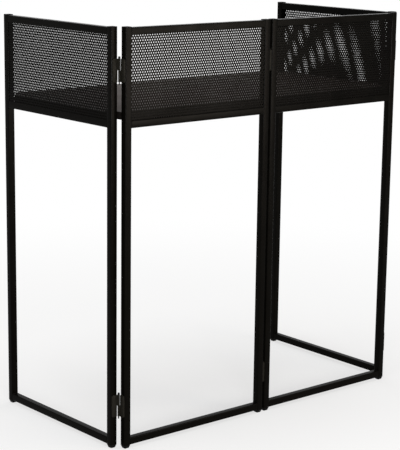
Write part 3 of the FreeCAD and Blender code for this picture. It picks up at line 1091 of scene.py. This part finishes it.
@dataclass
class HingeKit:
    """Leaves and pins of the six hinges, drawn about the hinge axis."""

    finishes: Finishes
    axis_to_tube: float = 3.5 * MM
    leaf_thickness: float = 3.3 * MM
    leaf_reach: float = 20.0 * MM
    leaf_corner: float = 3.0 * MM
    corner_segments: int = 5
    leaf_round: float = 0.4 * MM
    leaf_segments: int = 2
    knuckle_radius: float = 3.1 * MM
    knuckle_clearance: float = 0.4 * MM
    knuckle_room: float = 2.4 * MM
    bore_radius: float = 1.65 * MM
    pin_radius: float = 1.6 * MM
    head_radius: float = 3.0 * MM
    head_height: float = 6.0 * MM
    head_round: float = 1.8 * MM
    head_clearance: float = 0.05 * MM
    tip_round: float = 0.8 * MM
    pin_segments: int = 4
    merge_distance: float = 0.002 * MM
    sides: int = 32
    weld: WeldBead = field(default_factory=lambda: WeldBead(radius=1.1 * MM, ripple=1.5 * MM))
    # Share of a bead's radius that its axis lies off the tube
    weld_off_tube: float = 0.25

    def __post_init__(self) -> None:
        """Reads the leaf's height and the pin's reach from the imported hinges."""
        leaf_low, leaf_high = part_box("centre_upper_hinge_left_leaf")
        pin_low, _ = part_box("centre_upper_hinge_pin")
        self.half_height = (leaf_high.z - leaf_low.z) / 2
        self.tail = leaf_low.z - pin_low.z

    def leaf(self) -> Object:
        """Models a leaf: a rounded plate to the left of the axis, with its knuckle in the upper half.

        Returns:
            The leaf with its weld beads.
        """
        half = self.half_height
        room = self.knuckle_radius + self.knuckle_room
        start = self.knuckle_clearance / 2
        outer = self.axis_to_tube - self.leaf_thickness
        at_free_end = lies_at(Axis.X, -self.leaf_reach)
        goes_through = runs_along(Axis.Y, self.leaf_round)
        plate = Shaper.block(
            "leaf_plate", (-self.leaf_reach, outer, -half), (0.0, self.axis_to_tube, half))
        plate.round_edges(
            lambda first, second: at_free_end(first, second) and goes_through(first, second),
            self.leaf_corner, self.corner_segments)
        plate.round_edges(lies_at(Axis.Y, outer), self.leaf_round, self.leaf_segments)
        plate.combine(Shaper.rod("leaf_room", room, -2 * half, start, self.sides), "DIFFERENCE")
        knuckle = Shaper.rod("leaf_knuckle", self.knuckle_radius, start, half, self.sides)
        knuckle.round_edges(is_level, self.leaf_round, self.leaf_segments)
        plate.combine(knuckle, "UNION")
        bore = Shaper.rod("leaf_bore", self.bore_radius, -2 * half, 2 * half, self.sides)
        plate.combine(bore, "DIFFERENCE")
        plate.merge(self.merge_distance)
        return Shaper.joined("leaf_master", [plate.smooth(), *self.leaf_welds(room)]).obj

    def leaf_welds(self, room: float) -> Iterator[Object]:
        """Models the beads that hold a leaf to its tube.

        Args:
            room: radius that is kept clear round the axis.

        Yields:
            The beads along the free edge, the bottom and the top.
        """
        depth = self.axis_to_tube - self.weld_off_tube * self.weld.radius
        edge = self.weld.build("leaf_edge_weld", 2 * (self.half_height - self.leaf_corner))
        edge.data.transform(Matrix.Translation((-self.leaf_reach, depth, 0.0)))
        yield edge
        length = self.leaf_reach - room - self.leaf_corner
        middle = -(self.leaf_reach - self.leaf_corner + room) / 2
        level = Matrix.Rotation(math.pi / 2, 4, "Y")
        for height in (-self.half_height, self.half_height):
            bead = self.weld.build("leaf_end_weld", length)
            bead.data.transform(Matrix.Translation((middle, depth, height)) @ level)
            yield bead

    def pin(self) -> Object:
        """Models a headed pin with a rounded tip.

        Returns:
            The pin.
        """
        low = -self.half_height - self.tail
        seat = self.half_height + self.head_clearance
        top = self.half_height + self.head_height
        pin = Shaper.rod("pin_master", self.pin_radius, low, seat, self.sides)
        pin.round_edges(lies_at(Axis.Z, low), self.tip_round, self.pin_segments)
        with pin.edit(Element.FACE, faces_up):
            pin.extrude()
            pin.widen(self.head_radius / self.pin_radius, (0.0, 0.0, seat))
            pin.extrude(top - seat)
            pin.face_outwards()
        pin.round_edges(lies_at(Axis.Z, top), self.head_round, self.pin_segments)
        return pin.smooth()

    def build(self) -> None:
        """Models a leaf and a pin and fits copies of them to the six hinges."""
        leaf = self.leaf()
        pin = self.pin()
        for line in HingeLine:
            name, leaves = line.value
            for level in ("upper", "lower"):
                hinge = f"{name}_{level}_hinge"
                pin_low, pin_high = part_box(f"{hinge}_pin")
                leaf_low, leaf_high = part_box(f"{hinge}_{leaves[0][0]}_leaf")
                middle = (pin_low + pin_high) / 2
                middle.z = (leaf_low.z + leaf_high.z) / 2
                place = Matrix.Translation(middle)
                for side, body, attitude in leaves:
                    node = f"{hinge}_{side}_leaf"
                    rolled = copy_of(leaf, f"{node}_rolled", place @ attitude.turn())
                    Piece(body, Slot.HINGE, (node,)).fit(rolled, self.finishes.hinge)
                headed = copy_of(pin, f"{hinge}_headed_pin", place)
                Piece(f"{name}_{level}_pin", Slot.PIN, (f"{hinge}_pin",)).fit(headed, self.finishes.pin)
        discard((leaf, pin))


@dataclass
class Shelf:
    """The laminate board with a notch round each wing upright."""

    finishes: Finishes
    notch_clearance: float = 12.0 * MM
    notch_run: float = 22.0 * MM
    edge_round: float = 0.9 * MM
    edge_segments: int = 3

    def build(self) -> None:
        """Models the board and fits it."""
        low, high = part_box("shelf_board")
        upright_low, upright_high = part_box("right_wing_front_upright")
        rear_low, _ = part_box("right_wing_rear_upright")
        notch_x = upright_low.x - self.notch_clearance
        notch_front = upright_high.y + self.notch_run
        notch_back = rear_low.y - self.notch_run

        def in_notch(middle: Vector, normal: Vector) -> bool:
            """Tells from a face's middle whether a notch takes it away."""
            return abs(middle.x) > notch_x and not notch_front < middle.y < notch_back

        size = high - low
        middle = low + size / 2
        place = Matrix.Translation((middle.x, middle.y, low.z))
        board = Shaper.added("shelf_laminated_board", bpy.ops.mesh.primitive_plane_add, size=1.0)
        board.obj.data.transform(place @ Matrix.Diagonal((size.x, size.y, 1.0, 1.0)))
        for side in (-1, 1):
            board.cut_line((side * notch_x, 0.0, low.z), (1, 0, 0))
        for line in (notch_front, notch_back):
            board.cut_line((0.0, line, low.z), (0, 1, 0))
        with board.edit(Element.FACE, in_notch):
            bpy.ops.mesh.delete(type="FACE")
            board.pick(Element.FACE)
            board.extrude(size.z)
            board.pick(Element.FACE)
            bpy.ops.mesh.dissolve_limited(angle_limit=FLAT_ANGLE)
            board.face_outwards()
        board.round_edges(is_level, self.edge_round, self.edge_segments)
        board.smooth()
        Piece("shelf", Slot.SHELF, ("shelf_board",)).fit(
            board.obj, self.finishes.laminate, self.finishes.edge_band)
        for face in board.obj.data.polygons:
            face.material_index = int(abs(face.normal.z) < SQUARE_ON)


@dataclass(frozen=True)
class PhotoCamera:
    """The camera at the photograph's angle: yaw from +Y to the right, pitch up, roll to the left."""

    place: Place = (-2.8590, -3.3460, 1.4496)
    yaw: float = 0.70256
    pitch: float = -0.21083
    roll: float = 0.01333
    focal_pixels: float = 1521.2
    image_height: int = 450
    sensor: float = 36.0
    far: float = 60.0

    def build(self) -> None:
        """Adds the camera and makes it the scene's."""
        data = bpy.data.cameras.new("photo_camera")
        data.sensor_width = self.sensor
        data.lens = self.focal_pixels * self.sensor / self.image_height
        data.clip_end = self.far
        camera = bpy.data.objects.new("photo_camera", data)
        turns = ((-self.yaw, "Z"), (math.pi / 2 + self.pitch, "X"), (self.roll, "Z"))
        attitude = Matrix.Translation(self.place)
        for angle, axis in turns:
            attitude = attitude @ Matrix.Rotation(angle, 4, axis)
        camera.matrix_world = attitude
        bpy.context.scene.collection.objects.link(camera)
        bpy.context.scene.camera = camera


@dataclass(frozen=True)
class SoftBox:
    """One soft area lamp that looks at a point of the booth."""

    name: str
    place: Place
    target: Place
    width: float
    height: float
    power: float
    colour: Colour = WHITE

    def build(self) -> None:
        """Adds the lamp, out of the camera's sight."""
        data = bpy.data.lights.new(self.name, "AREA")
        data.shape = "RECTANGLE"
        data.size = self.width
        data.size_y = self.height
        data.energy = self.power
        data.color = self.colour
        lamp = bpy.data.objects.new(self.name, data)
        lamp.location = self.place
        aim = Vector(self.target) - Vector(self.place)
        lamp.rotation_euler = aim.to_track_quat("-Z", "Y").to_euler()
        lamp.visible_camera = False
        bpy.context.scene.collection.objects.link(lamp)


@dataclass(frozen=True)
class Studio:
    """Pale floor, white background and soft lamps."""

    floor_radius: float = 9.0
    floor_sides: int = 96
    floor_colour: Colour = (0.93, 0.93, 0.93)
    fade_end: float = 2.6
    near_white: float = 0.6
    fill: float = 0.22
    lamps: tuple[SoftBox, ...] = (
        SoftBox("overhead_box", (0.0, 0.2, 3.6), (0.0, 0.0, 0.6), 3.0, 3.0, 80.0),
        SoftBox("front_box", (1.53, -3.21, 0.85), (-0.2, -0.2, 0.9), 1.6, 1.1, 56.0, (1.0, 0.88, 0.76)),
        SoftBox("camera_box", (-2.2, -3.0, 0.70), (0.0, -0.2, 1.0), 1.5, 0.4, 110.0),
    )

    def build(self) -> None:
        """Adds the floor, the world and the lamps."""
        bpy.context.scene.view_settings.view_transform = "Standard"
        self.build_floor()
        self.build_world()
        for lamp in self.lamps:
            lamp.build()

    @staticmethod
    def seen(write: NodeWriter) -> Socket:
        """Writes 1 for what is seen, also in a gloss or through glass, and 0 for what lights the booth.

        Args:
            write: writer of the tree.

        Returns:
            The socket of that value.
        """
        path = write.add("LightPath")
        seen = write.math("MAXIMUM", path.outputs["Is Camera Ray"], path.outputs["Is Glossy Ray"])
        return write.math("MAXIMUM", seen, path.outputs["Is Transmission Ray"])

    def build_floor(self) -> None:
        """Adds a pale round floor that turns into the white background away from the booth."""
        Shaper.clear_selection()
        bpy.ops.mesh.primitive_circle_add(
            vertices=self.floor_sides, radius=self.floor_radius, fill_type="NGON")
        floor = bpy.context.object
        floor.name = "studio_floor"
        material = bpy.data.materials.new("studio_floor")
        write = NodeWriter.fresh(material)
        away = write.math("LENGTH", write.add("TexCoord").outputs["Object"], kind="VectorMath")
        white_share = write.ramp(away, (0.0, self.fade_end), (self.near_white, 1.0))
        share = write.math("MULTIPLY", white_share, self.seen(write))
        pale = write.add("BsdfDiffuse", Color=self.floor_colour)
        white = write.add("Emission", Color=WHITE, Strength=1.0)
        mixed = write.add("MixShader")
        for socket, value in zip(mixed.inputs, (share, pale.outputs[0], white.outputs[0])):
            write.put(socket, value)
        write.add("OutputMaterial", Surface=mixed.outputs[0])
        floor.data.materials.append(material)

    def build_world(self) -> None:
        """Makes the background white for what is seen, and a softer fill for what is lit."""
        world = bpy.data.worlds.new("studio_world")
        bpy.context.scene.world = world
        write = NodeWriter.fresh(world)
        strength = write.ramp(self.seen(write), (0.0, 1.0), (self.fill, 1.0))
        sky = write.add("Background", Color=WHITE, Strength=strength)
        write.add("OutputWorld", Surface=sky.outputs[0])


def main() -> None:
    """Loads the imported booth, models and dresses its pieces and sets the stage."""
    logging.basicConfig(level=logging.INFO, format="%(name)s: %(message)s")
    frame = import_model()
    finishes = Finishes()
    for assembly in (PanelKit(finishes), HingeKit(finishes), Shelf(finishes)):
        assembly.build()
    PhotoCamera().build()
    Studio().build()


if __name__ == "__main__":
    main()
